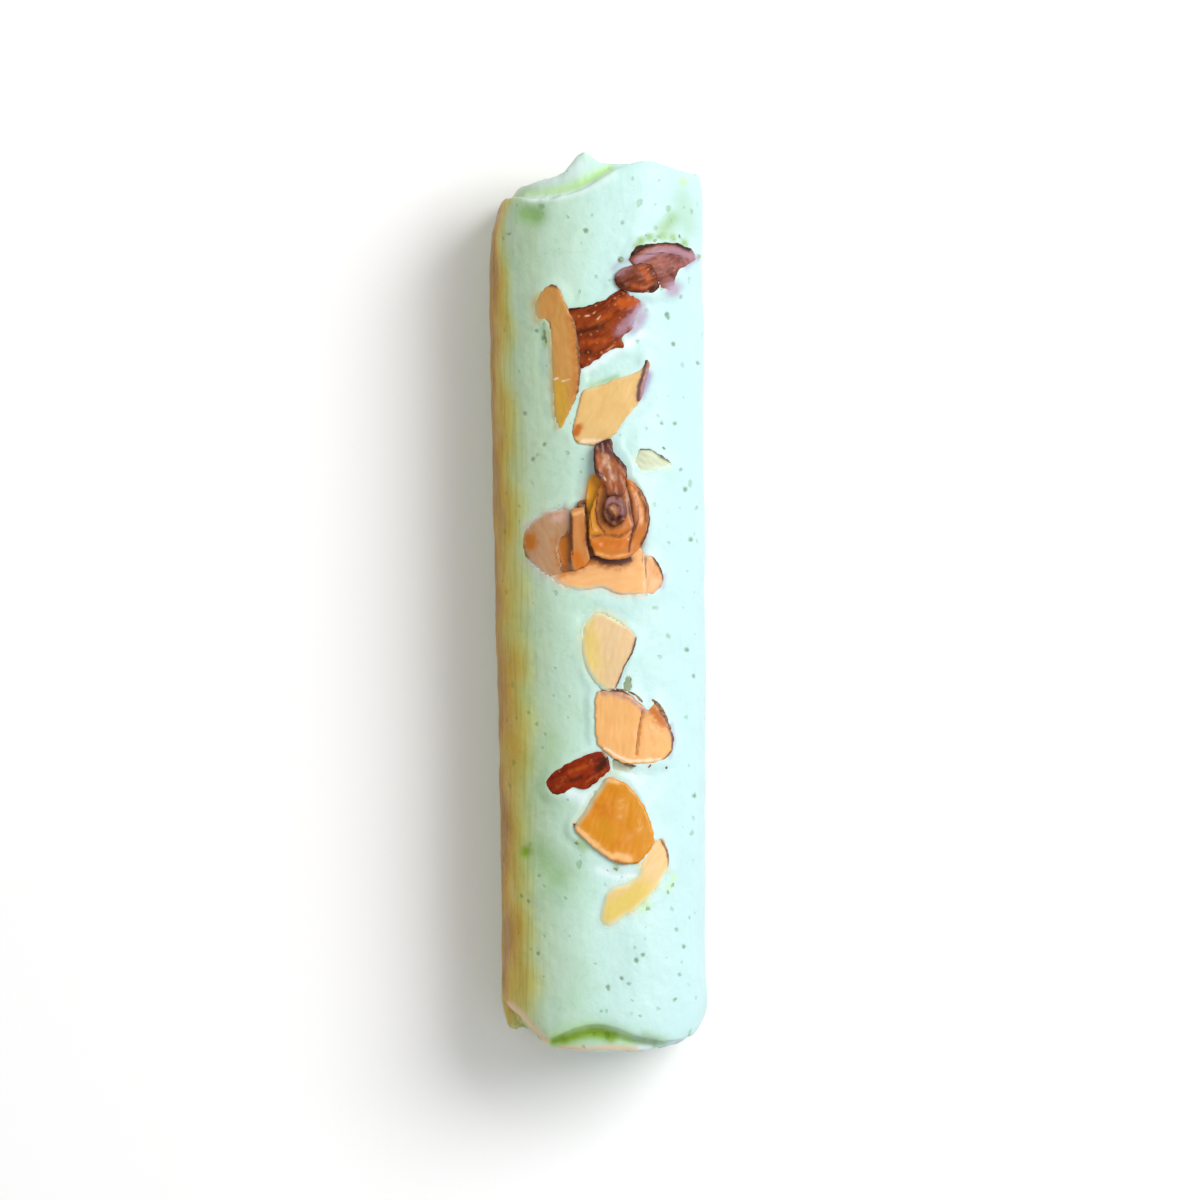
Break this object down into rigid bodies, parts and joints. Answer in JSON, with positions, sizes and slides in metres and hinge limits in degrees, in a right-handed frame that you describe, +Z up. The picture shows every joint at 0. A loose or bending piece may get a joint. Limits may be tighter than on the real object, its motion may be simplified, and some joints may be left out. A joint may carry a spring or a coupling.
{
  "type": "coconut candy roll",
  "caption": "Soft mint-coloured coconut candy bar with rough ends and broken almond slices pressed into its top.",
  "frame": {"origin": "middle of the flat underside, under the middle of the bar's box", "axes": "+Y along the bar to the end with the small upturned tail, +Z up through the face with the almonds"},
  "size_m": [0.033, 0.136, 0.0287],
  "materials": {
    "candy": "satin, moist, slightly translucent mint-coloured candy, ochre low on its flanks",
    "almond_flesh": "toasted almond flesh, cream to amber, lightly glazed",
    "almond_skin": "wrinkled red-brown almond skin, lightly glazed",
    "almond_glazed": "almond seen through a thin film of candy"
  },
  "bodies": {
    "root": {"candy_roll": "candy", "husk_under": "almond_skin", "husk_top": "almond_skin", "sliver_long": "almond_flesh", "husk_wide": "almond_skin", "neck": "almond_flesh", "diamond": "almond_flesh", "chip_pale": "almond_glazed", "curl": "almond_skin", "disc": "almond_flesh", "post": "almond_flesh", "amber": "almond_flesh", "lobe": "almond_glazed", "bridge": "almond_flesh", "wing": "almond_flesh", "skirt": "almond_flesh", "shield": "almond_flesh", "chip_green": "almond_glazed", "fan": "almond_flesh", "husk_low": "almond_skin", "chip_grey": "almond_glazed", "amber_round": "almond_flesh", "crescent": "almond_flesh"}
  },
  "joints": []
}
